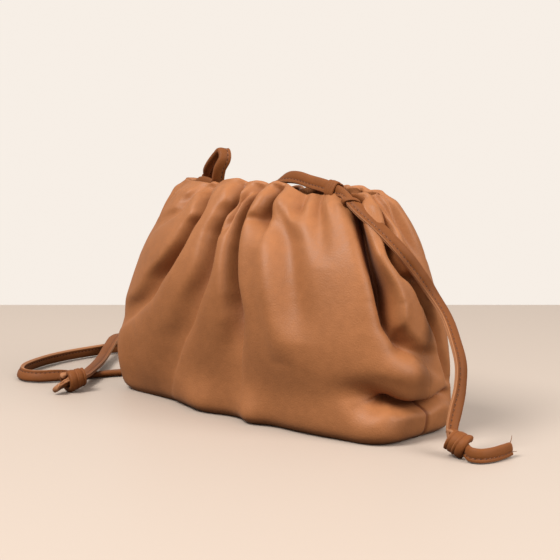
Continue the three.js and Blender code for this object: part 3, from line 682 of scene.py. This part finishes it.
def strap_mesh(frames, raw_side=-1, thin=1.0):
    """Points and faces of a folded strap, numbers for its painted shade and pale cut edges, and its two
    stitch grooves.
    """
    place, across, up, width, even = frames
    section = np.concatenate([STRAP_SECTION, STRAP_SECTION[-2:0:-1] * [1, -1]])
    count = len(section)
    order = np.minimum(np.arange(count), count - np.arange(count))
    pucker = PUCKER * np.cos(2 * np.pi * even / STITCH_PITCH)
    squeeze = np.minimum(1.0, width / STRAP_WIDTH + SQUEEZE_FREE)
    sideways = np.outer(width / 2, -raw_side * section[:, 0])
    height = section[:, 1] * thin * (1 + np.outer(pucker, order == GROOVE)) * (2 - squeeze)[:, None]
    rings = place[:, None] + sideways[..., None] * across[:, None] + height[..., None] * up[:, None]
    at = np.arange(len(place) * count).reshape(len(place), count)
    beside = np.roll(at, -1, axis=1)
    faces = np.stack([at[:-1], at[1:], beside[1:], beside[:-1]], axis=-1).reshape(-1, 4)
    faces = [*map(tuple, faces), tuple(at[0]), tuple(at[-1][::-1])]
    if raw_side > 0:
        faces = [face[::-1] for face in faces]
    cut = np.tile((order >= CUT_FROM) * CUT_PALENESS, len(place))
    cut[[*at[0], *at[-1]]] = END_PALENESS
    # Painted shade in the stitch groove and between the two raw layers
    shade = (order == GROOVE) * GROOVE_SHADE + (order == count // 2) * LAYER_SHADE
    numbers = {"cut_edge": cut, "fold_depth": np.tile(shade, len(place))}
    return rings.reshape(-1, 3), faces, numbers, [rings[:, GROOVE], rings[:, count - GROOVE]]


def plain_material(name, colour, roughness, fleck):
    """Thread, or the painted shade of needle holes: one colour with a fine fleck."""
    material, tree = new_material(name)
    where = add_node(tree, "ShaderNodeTexCoord").outputs["Object"]
    shade = mix_colours(tree, noise_at(tree, where, scale=2500.0, detail=2.0), colour, fleck)
    shader = add_node(tree, "ShaderNodeBsdfPrincipled", Roughness=roughness)
    tree.links.new(shade, shader.inputs["Base Color"])
    show_surface(tree, shader)
    return material


thread = plain_material("strap_thread", (0.17, 0.056, 0.02, 1), 0.6, (0.27, 0.10, 0.04, 1))
# Needle holes are dark beads of painted shade at the ends of the stitches
needle_hole_shade = plain_material("needle_holes", (0.055, 0.018, 0.007, 1), 0.8, (0.08, 0.027, 0.01, 1))


def bead_row_tree():
    """Nodes that set long beads along a line at a pitch, and the names of their inputs."""
    tree = bpy.data.node_groups.new("bead_row", "GeometryNodeTree")
    face = tree.interface
    face.new_socket("Line", in_out="INPUT", socket_type="NodeSocketGeometry")
    face.new_socket("Beads", in_out="OUTPUT", socket_type="NodeSocketGeometry")
    names = {}
    for label, kind in (("Pitch", "Float"), ("Bead size", "Vector"), ("Look", "Material")):
        socket = face.new_socket(label, in_out="INPUT", socket_type="NodeSocket" + kind)
        names[label] = socket.identifier
    given = add_node(tree, "NodeGroupInput")
    result = add_node(tree, "NodeGroupOutput")
    spaced = add_node(tree, "GeometryNodeResampleCurve", {"mode": "LENGTH"})
    ball = add_node(tree, "GeometryNodeMeshUVSphere", Segments=6, Rings=5, Radius=1.0)
    facing = add_node(tree, "FunctionNodeAlignRotationToVector", {"axis": "X"})
    tangent = add_node(tree, "GeometryNodeInputTangent")
    placed = add_node(tree, "GeometryNodeInstanceOnPoints")
    shaded = add_node(tree, "GeometryNodeSetShadeSmooth")
    real = add_node(tree, "GeometryNodeRealizeInstances")
    dressed = add_node(tree, "GeometryNodeSetMaterial")
    join(tree, (given, "Line", spaced, "Curve"), (given, "Pitch", spaced, "Length"),
         (spaced, "Curve", placed, "Points"), (ball, "Mesh", placed, "Instance"),
         (tangent, "Tangent", facing, "Vector"), (facing, "Rotation", placed, "Rotation"),
         (given, "Bead size", placed, "Scale"), (placed, "Instances", shaded, "Geometry"),
         (shaded, "Geometry", real, "Geometry"), (real, "Geometry", dressed, "Geometry"),
         (given, "Look", dressed, "Material"), (dressed, "Geometry", result, "Beads"))
    return tree, names


bead_row, bead_inputs = bead_row_tree()


def bead_object(name, lines, size, look, start):
    """Beads along lines, the first one at a distance from each line's start."""
    curve = bpy.data.curves.new(name + "_line", "CURVE")
    curve.dimensions = "3D"
    for line in lines:
        lengths = run_lengths(line)
        even = np.arange(start, lengths[-1], STITCH_PITCH / 2)
        points = np.stack([np.interp(even, lengths, line[:, k]) for k in range(3)], axis=1) * MM
        spline = curve.splines.new("POLY")
        spline.points.add(len(points) - 1)
        spline.points.foreach_set("co", np.pad(points, ((0, 0), (0, 1)), constant_values=1).ravel())
    holder = add_object(name + "_line", curve)
    modifier = holder.modifiers.new("beads", "NODES")
    modifier.node_group = bead_row
    modifier[bead_inputs["Pitch"]] = STITCH_PITCH * MM
    modifier[bead_inputs["Bead size"]] = [value * MM for value in size]
    modifier[bead_inputs["Look"]] = look
    evaluated = holder.evaluated_get(bpy.context.evaluated_depsgraph_get())
    mesh = bpy.data.meshes.new_from_object(evaluated)
    bpy.data.objects.remove(holder)
    return add_object(name, mesh)


STITCH_SIZE = (1.15, 0.32, 0.32)
HOLE_SIZE = (0.62, 0.46, 0.46)
HOLE_START = 0.02


def strap_object(name, stitched, frames, raw_side=-1):
    """A strap, the thread in its grooves, and dark beads of painted shade at the needle holes there."""
    points, faces, numbers, lines = strap_mesh(frames, raw_side)
    return [
        mesh_object(name, points, faces, strap_leather, numbers),
        bead_object(stitched + "_stitches", lines, STITCH_SIZE, thread, STITCH_PITCH / 2),
        bead_object(stitched + "_needle_holes", lines, HOLE_SIZE, needle_hole_shade, HOLE_START)]


near_frames = strap_frames(NEAR_STRAP)
near_strap, *strap_beads = strap_object("near_folded_strap", "near_strap", near_frames)
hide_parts("near_strap")
near_tail, *tail_beads = strap_object("near_strap_tail", "near_tail", strap_frames(NEAR_TAIL, SHORT_STEP))
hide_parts("near_tail")

# Keeper of the near strap
# A narrow strip of strap leather wound three times round the strap and pulled tight, which
# keeps the strap from slipping back through the gathered mouth.
KEEPER_ROW = 7
KEEPER_LENGTH = 11.0
KEEPER_TURNS = 3
TURN_STEPS = 40
WRAP_THICKNESS = 1.7
WRAP_OUT = 0.9
WRAP_SQUARENESS = 0.75
WRAP_END_SHARE = 0.55
WRAP_END_RISE = 6
WRAP_WIDTH = KEEPER_LENGTH / (KEEPER_TURNS + 0.25)
KEEPER_ADVANCE = KEEPER_LENGTH - KEEPER_LENGTH / (KEEPER_TURNS + 0.4)
STRAP_HALF_THICKNESS = 1.8
BAND_CORNERS = 12
BAND_FLATNESS, BAND_ROUNDNESS = 0.6, 0.8


def strap_oval(route, row, gap, turn):
    """An oval that clears a strap at a row of its route: its middle, the way ahead, its half width
    and half height as vectors, and the ways out of it at each turn."""
    ahead = unit(route[min(row + 1, len(route) - 1), :3] - route[max(row - 1, 0), :3])
    across = unit(route[row, 3:6] - ahead * (route[row, 3:6] @ ahead))
    up = np.cross(ahead, across)
    half_width = route[row, 6] / 2 + gap
    half_height = STRAP_HALF_THICKNESS + gap
    out_way = np.outer(np.cos(turn) / half_width, across) + np.outer(np.sin(turn) / half_height, up)
    return route[row, :3], ahead, across * half_width, up * half_height, unit(out_way)


def tube_faces(rings, corners):
    """Faces between the rings of a tube, without its ends."""
    at = np.arange(rings * corners).reshape(rings, corners)
    beside = np.roll(at, -1, axis=1)
    faces = np.stack([at[:-1], beside[:-1], beside[1:], at[1:]], axis=-1).reshape(-1, 4)
    return [tuple(face) for face in faces]


def facing_out(points, faces):
    """Faces turned outwards, from the sign of the volume that they enclose."""
    volume = 0.0
    for face in faces:
        for second, third in zip(face[1:], face[2:]):
            volume += np.dot(points[face[0]], np.cross(points[second], points[third]))
    return faces if volume > 0 else [face[::-1] for face in faces]


def band_mesh(line, flat_way, out_way, width, thickness):
    """A flat rounded band along a line, with its width one way and its thickness another."""
    corner = np.linspace(0, 2 * np.pi, BAND_CORNERS + 1)[:-1]
    ones = np.ones(len(line))
    flat = np.outer(ones * width / 2, signed_power(np.cos(corner), BAND_FLATNESS))
    out = np.outer(ones * thickness / 2, signed_power(np.sin(corner), BAND_ROUNDNESS))
    flat_way, out_way = (np.broadcast_to(way, line.shape)[:, None] for way in (flat_way, out_way))
    rings = line[:, None] + flat[..., None] * flat_way + out[..., None] * out_way
    points = rings.reshape(-1, 3)
    first = tuple(range(BAND_CORNERS))
    last = tuple(range(len(points) - BAND_CORNERS, len(points)))
    return points, facing_out(points, tube_faces(len(line), BAND_CORNERS) + [first[::-1], last])


turn = np.linspace(0, 2 * np.pi * KEEPER_TURNS, TURN_STEPS * KEEPER_TURNS)
share = turn / turn[-1]
place, ahead, across, up, out_way = strap_oval(NEAR_STRAP, KEEPER_ROW, WRAP_OUT, turn)
line = (place + np.outer((share - 0.5) * KEEPER_ADVANCE, ahead)
        + np.outer(signed_power(np.cos(turn), WRAP_SQUARENESS), across)
        + np.outer(signed_power(np.sin(turn), WRAP_SQUARENESS), up))
grown = np.minimum(1, WRAP_END_RISE * np.minimum(share, 1 - share))
thickness = WRAP_THICKNESS * (WRAP_END_SHARE + (1 - WRAP_END_SHARE) * grown)
points, faces = band_mesh(line, ahead, out_way, WRAP_WIDTH, thickness)
near_keeper = mesh_object("near_strap_keeper", points, faces, strap_leather)
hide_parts("near_keeper")

# Anchor loops
# A thin strip of leather at each end of the mouth, closed round the strap and caught in the
# gathers, so that the strap draws the mouth shut where it passes.
NEAR_LOOP_ROW = 10
LOOP_WIDTH = 3.4
LOOP_THICKNESS = 1.1
LOOP_OUT = 1.0
LOOP_STEPS = 49
TAIL_LAYERS = 1.6
NEAR_LOOP_TAIL = np.array([
    (70.5, -9.5, 139.6, 0.5, 0.1, 0.85, 3), (73.5, -7.6, 139, 0.45, 0.1, 0.9, 3.4),
    (77.5, -6.6, 137, 0.6, 0.1, 0.8, 3.6), (81, -6.2, 134.4, 0.75, 0.1, 0.65, 3.6),
    (83.2, -6, 130.5, 0.9, 0.1, 0.4, 3.4)])


def joined(points, faces, more_points, more_faces):
    """Two skins as one."""
    more_faces = [tuple(corner + len(points) for corner in face) for face in more_faces]
    return np.concatenate([points, more_points]), faces + more_faces


def anchor_loop(name, route, row, lean, tail):
    """A strip closed round the strap, with its two layers running on as a tail to the rim."""
    turn = np.linspace(0, 2 * np.pi, LOOP_STEPS)
    place, ahead, across, up, out_way = strap_oval(route, row, LOOP_OUT, turn)
    line = place + np.outer(np.cos(turn), across + lean * ahead) + np.outer(np.sin(turn), up)
    loop = band_mesh(line, ahead, out_way, LOOP_WIDTH, LOOP_THICKNESS)
    run, flat, out, widths, _ = strap_frames(tail)
    strip = band_mesh(run, flat, out, widths, TAIL_LAYERS * LOOP_THICKNESS)
    return mesh_object(name, *joined(*loop, *strip), strap_leather)


near_loop = anchor_loop("near_anchor_strip", NEAR_STRAP, NEAR_LOOP_ROW, lean=3.0, tail=NEAR_LOOP_TAIL)
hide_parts("near_anchor_loop")

# Knot at the end of the near strap
# An overhand knot in the strap itself: two flat turns of the strap lie side by side round the
# tail, pulled tight, with the tail coming out of the middle.
NEAR_KNOT = np.array([161.4, -22.8, 8.2])
KNOT_RADIUS = 5.4
KNOT_TURNS = 2.1
KNOT_LENGTH = 10.5
KNOT_STEPS = 90
FIRST_TURN, LATER_TURN, END_DRAW = 0.9, 0.16, 0.1
KNOT_STRAP_WIDTH, KNOT_NARROWING, KNOT_THINNING = 7.2, 1.6, 0.92
CORE_RADIUS, CORE_HALF_LENGTH, CORE_SHADE = 4.6, 5.6, 0.5
CORE_RINGS, CORE_CORNERS = 13, 24


def knot(name, centre, axis, start):
    """Turns of the strap round an axis, over a core painted dark as shade that fills the middle."""
    axis = unit(axis)
    level = unit(np.cross(axis, [0, 0, 1]))
    rise = np.cross(level, axis)
    turn = np.linspace(0, 2 * np.pi * KNOT_TURNS, KNOT_STEPS)
    share = turn / turn[-1]
    towards_end = np.abs(2 * share - 1) ** 4
    radius = KNOT_RADIUS * (FIRST_TURN + LATER_TURN * smooth_step(1.6 * share - 0.4))
    radius *= 1 - END_DRAW * towards_end
    spoke = np.outer(np.cos(turn + start), level) + np.outer(np.sin(turn + start), rise)
    route = np.zeros((KNOT_STEPS, 7))
    route[:, :3] = centre + spoke * radius[:, None] + np.outer((share - 0.5) * KNOT_LENGTH, axis)
    route[:, 3:6] = axis
    route[:, 6] = KNOT_STRAP_WIDTH - KNOT_NARROWING * towards_end
    points, faces, numbers, _ = strap_mesh(strap_frames(route, SHORT_STEP), thin=KNOT_THINNING)
    angle = np.linspace(0, 2 * np.pi, CORE_CORNERS + 1)[:-1]
    polar = np.linspace(0, np.pi, CORE_RINGS)[:, None]
    way = np.outer(np.cos(angle), level) + np.outer(np.sin(angle), rise)
    core = centre + CORE_RADIUS * np.sin(polar)[..., None] * way
    core = (core - (CORE_HALF_LENGTH * np.cos(polar) * axis)[:, None]).reshape(-1, 3)
    core_faces = facing_out(core, tube_faces(CORE_RINGS, CORE_CORNERS))
    for key, shade in (("cut_edge", 0), ("fold_depth", CORE_SHADE)):
        numbers[key] = np.append(numbers[key], np.full(len(core), shade))
    skin = joined(points, facing_out(points, faces), core, core_faces)
    return mesh_object(name, *skin, strap_leather, numbers)


near_knot = knot("near_strap_knot", NEAR_KNOT, axis=(0.887, 0.228, -0.3), start=1.2)
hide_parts("near_end_knot")

# Loose thread ends at the cut end of the near tail
# The last stitches are cut, not tied off, and two ends of thread stand out of the cut.
THREAD_LENGTH = 4.6
THREAD_BOW = 0.6
THREAD_WIDTH = 0.5
THREAD_TAPER = 0.25
threads = []
for way, lift in (((0.05, 0.25, 1.0), 3.2), ((0.35, 1.0, -0.15), -1.2)):
    root = NEAR_TAIL[-1, :3] + [0, -0.3, lift]
    share = np.linspace(0, 1, 9)
    bow = np.outer(THREAD_BOW * np.sin(2.6 * share), [0.4, 0, -0.3])
    line = root + np.outer(share * THREAD_LENGTH, unit(way)) + bow
    flat_way = unit(np.cross(way, [1, 0.3, 0.2]))
    out_way = np.cross(unit(way), flat_way)
    width = THREAD_WIDTH - THREAD_TAPER * share
    points, faces = band_mesh(line, flat_way, out_way, width, width)
    threads.append(mesh_object(f"near_thread_end_{len(threads) + 1}", points, faces, thread))

near_pieces = [near_keeper, near_knot, near_tail, *strap_beads, *tail_beads, *threads]
for piece in (near_strap, near_loop, *near_pieces):
    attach(piece, "root")

# Far strap
# The same folded strap at the other end of the mouth. It stands up in a small loop, goes over the
# back rim and down behind the far end of the pouch, and lies loose in one wide loop.
FAR_STRAP = np.array([
    (-53, 9.5, 126, 0.8, 0.4, 0, 8), (-52, 0.4, 137.5, 0.6, 0.7, 0, 8), (-47.5, -3, 148.5, 0.5, 0.8, 0.1, 8),
    (-44.5, -1, 156.2, 0.6, 0.8, 0.1, 8), (-47.8, 0.8, 160.8, 0.6, 0.8, 0, 8),
    (-53.6, 2.2, 157.6, 0.6, 0.8, 0, 8), (-61, 3.8, 151.8, 0.65, 0.75, 0, 8),
    (-67, 6, 146.8, 0.75, 0.65, 0, 7.4), (-70.6, 9.2, 143.6, 0.9, 0.4, 0, 6.6),
    (-72.8, 12.2, 140.2, 0.92, 0.38, 0, 7.6), (-75.9, 13.6, 134.1, 0.9, 0.4, 0, 8),
    (-81.2, 16, 127.5, 0.88, 0.45, 0, 8), (-87.9, 18.2, 119.3, 0.8, 0.55, 0, 8),
    (-95.2, 18.7, 109.2, 0.7, 0.7, 0, 8), (-102.8, 17.7, 97.2, 0.6, 0.8, 0, 8),
    (-111.4, 14.5, 83.4, 0.4, 0.9, 0, 8), (-119, 9.5, 67.3, 0.15, 0.98, 0, 8), (-122.9, 5.8, 52, 0, 1, 0, 8),
    (-126, 6, 30, 0, 1, 0, 8), (-129, 7.5, 14, 0.1, 0.95, 0.1, 8), (-136.5, 7.5, 5.4, 0.3, 0.9, 0.2, 8),
    (-145, 1.5, 2.8, -0.75, 0.65, 0.15, 8), (-151, -9.5, 2.5, -0.93, 0.37, 0.05, 8),
    (-155, -20, 2.4, -0.95, 0.3, 0, 8), (-157.4, -28, 2.5, -0.97, 0.25, 0.05, 8),
    (-159.2, -35.5, 3.6, -0.87, 0.27, 0.42, 8), (-162.4, -46.5, 4.6, -0.53, 0.23, 0.82, 8),
    (-169, -57, 4.6, -0.25, 0.28, 0.93, 8), (-179, -61, 4.6, 0, 0.37, 0.93, 8),
    (-190, -57, 4.6, 0.2, 0.31, 0.93, 8), (-199.5, -47, 4.6, 0.3, 0.21, 0.93, 8),
    (-206.5, -33, 4.6, 0.34, 0.14, 0.93, 8), (-212.5, -15.5, 4.6, 0.36, 0.07, 0.93, 8),
    (-215.8, 5, 4.6, 0.37, 0.02, 0.93, 8), (-216, 25, 4.6, 0.37, 0, 0.93, 8),
    (-215, 46, 4.5, 0.3, 0, 0.95, 8), (-211, 66, 4.4, 0.2, 0, 0.98, 8), (-207.5, 86, 4.4, 0.1, 0, 1, 8),
    (-213, 102, 4.4, 0, 0, 1, 8), (-227, 106, 4.6, 0, 0, 1, 8), (-236.5, 93, 5.2, 0.45, 0.1, 0.88, 8),
    (-233.5, 76, 8, 0.85, 0.3, 0.35, 8), (-225, 62.5, 10.6, 0.83, 0.55, 0.1, 8),
    (-215.5, 49, 11.2, 0.8, 0.6, 0, 8), (-201, 31.5, 9.2, 0.78, 0.62, 0, 8),
    (-186, 13.5, 6.5, 0.77, 0.63, 0, 8), (-170, -4.5, 6.3, 0.76, 0.65, 0, 8),
    (-154.5, -22.5, 7.1, 0.78, 0.62, 0, 8), (-142.5, -39, 6.8, 0.82, 0.57, 0, 8),
    (-134.7, -50.8, 7.6, 0.84, 0.54, 0, 7), (-131, -56.2, 8.1, 0.86, 0.5, 0, 5.6)])
FAR_TAIL = np.array([
    (-130.2, -61.6, 7.6, 0.6, 0.35, 0.7, 5.4), (-131.2, -67.2, 5.8, 0.6, 0.35, 0.7, 6.6),
    (-130, -71, 5.1, 0.6, 0.35, 0.7, 8), (-128.3, -74.4, 4.9, 0.6, 0.35, 0.7, 7.4)])
FAR_LOOP_TAIL = np.array([
    (-74, 1.5, 138.6, 0.1, 0.3, 0.95, 5), (-69, 0, 140.4, 0.1, 0.3, 0.95, 5.4),
    (-63, -0.6, 140.6, 0.1, 0.3, 0.95, 5.4), (-57, -0.6, 139.4, 0.1, 0.3, 0.95, 5)])
FAR_KNOT = np.array([-129.5, -58.5, 8.2])
FAR_LOOP_ROW = 9
far_frames = strap_frames(FAR_STRAP)
far_strap, *strap_beads = strap_object("far_folded_strap", "far_strap", far_frames, raw_side=1)
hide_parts("far_strap")
tail_frames = strap_frames(FAR_TAIL, SHORT_STEP)
far_tail, *tail_beads = strap_object("far_strap_tail", "far_tail", tail_frames, raw_side=1)
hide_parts("far_tail")
far_loop = anchor_loop("far_anchor_strip", FAR_STRAP, FAR_LOOP_ROW, lean=1.0, tail=FAR_LOOP_TAIL)
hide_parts("far_anchor_loop")
far_knot = knot("far_strap_knot", FAR_KNOT, axis=(-0.25, -0.92, -0.2), start=0.4)
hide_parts("far_end_knot")
far_pieces = [far_knot, far_tail, *strap_beads, *tail_beads]
for piece in (far_strap, far_loop, *far_pieces):
    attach(piece, "root")

# Plain top, light and camera
# A plain pale top under a soft light from the left and above, seen from the near front corner.
# The top is darker for light that bounces off it than it looks, so that the folds stay deep.
BOUNCE_TINT = (0.09, 0.068, 0.052, 1)
SEEN_TINT = (0.50, 0.42, 0.36, 1)
TOP_BACK, TOP_FRONT, TOP_HALF = -420, 2500, 2500
CAMERA_AZIMUTH = math.radians(43.77)
toward_camera = Vector((math.sin(CAMERA_AZIMUTH), -math.cos(CAMERA_AZIMUTH), 0))
camera_right = Vector((math.cos(CAMERA_AZIMUTH), math.sin(CAMERA_AZIMUTH), 0))
straight_up = Vector((0, 0, 1))
floor_material, tree = new_material("pale_top")
shader = add_node(tree, "ShaderNodeBsdfPrincipled", Roughness=0.5)
seen = add_node(tree, "ShaderNodeLightPath")
tint = mix_colours(tree, seen.outputs["Is Camera Ray"], BOUNCE_TINT, SEEN_TINT)
tree.links.new(tint, shader.inputs["Base Color"])
show_surface(tree, shader)
corners = [toward_camera * along + camera_right * across for along, across in (
    (TOP_FRONT, -TOP_HALF), (TOP_FRONT, TOP_HALF), (TOP_BACK, TOP_HALF), (TOP_BACK, -TOP_HALF))]
floor = mesh_object("pale_table_top", np.array(corners), [(0, 1, 2, 3)], floor_material)

world = bpy.data.worlds.new("soft_room")
bpy.context.scene.world = world
world.use_nodes = True
tree = world.node_tree
room = tree.nodes["Background"]
room.inputs["Color"].default_value = (1.0, 0.96, 0.91, 1)
where = add_node(tree, "ShaderNodeTexCoord")
parts = add_node(tree, "ShaderNodeSeparateXYZ")
brighter_above = add_node(tree, "ShaderNodeMapRange", To_Min=0.35, To_Max=0.7)
backdrop = add_node(tree, "ShaderNodeBackground", Color=(0.93, 0.86, 0.79, 1), Strength=1.0)
seen = add_node(tree, "ShaderNodeLightPath")
either = add_node(tree, "ShaderNodeMixShader")
join(tree, (where, "Generated", parts, 0), (parts, "Z", brighter_above, "Value"),
     (brighter_above, "Result", room, "Strength"), (seen, "Is Camera Ray", either, 0),
     (room, 0, either, 1), (backdrop, 0, either, 2), (either, 0, tree.nodes["World Output"], 0))
bpy.context.scene.view_settings.view_transform = "Standard"

# how far each light stands towards the camera, to its right and up, its size, watts and colour
LIGHTS = {
    "window": (0.65, -1.0, 1.6, 0.8, 42, (1.0, 0.96, 0.91)),
    "room_fill": (0.8, 1.1, 0.9, 1.0, 20, (1.0, 0.96, 0.92)),
}
LIGHT_AIM = Vector((0, 0, 0.06))
for name, (nearer, rightwards, height, size, power, colour) in LIGHTS.items():
    light = bpy.data.lights.new(name, "AREA")
    light.size = size
    light.energy = power
    light.color = colour
    lamp = add_object(name, light)
    lamp.location = toward_camera * nearer + camera_right * rightwards + straight_up * height
    lamp.rotation_euler = (LIGHT_AIM - lamp.location).to_track_quat("-Z", "Y").to_euler()

CAMERA_PITCH = math.radians(8.0)
CAMERA_PLACE = Vector((0.6935, -0.7204, 0.2220))
FOCAL_PIXELS = 1607.2
IMAGE_PIXELS = 560
camera_data = bpy.data.cameras.new("photo_view")
camera_data.sensor_width = 36
camera_data.lens = FOCAL_PIXELS * camera_data.sensor_width / IMAGE_PIXELS
camera = add_object("photo_view", camera_data)
camera.location = CAMERA_PLACE
forward = -toward_camera * math.cos(CAMERA_PITCH) - straight_up * math.sin(CAMERA_PITCH)
camera.rotation_euler = forward.to_track_quat("-Z", "Y").to_euler()
bpy.context.scene.camera = camera
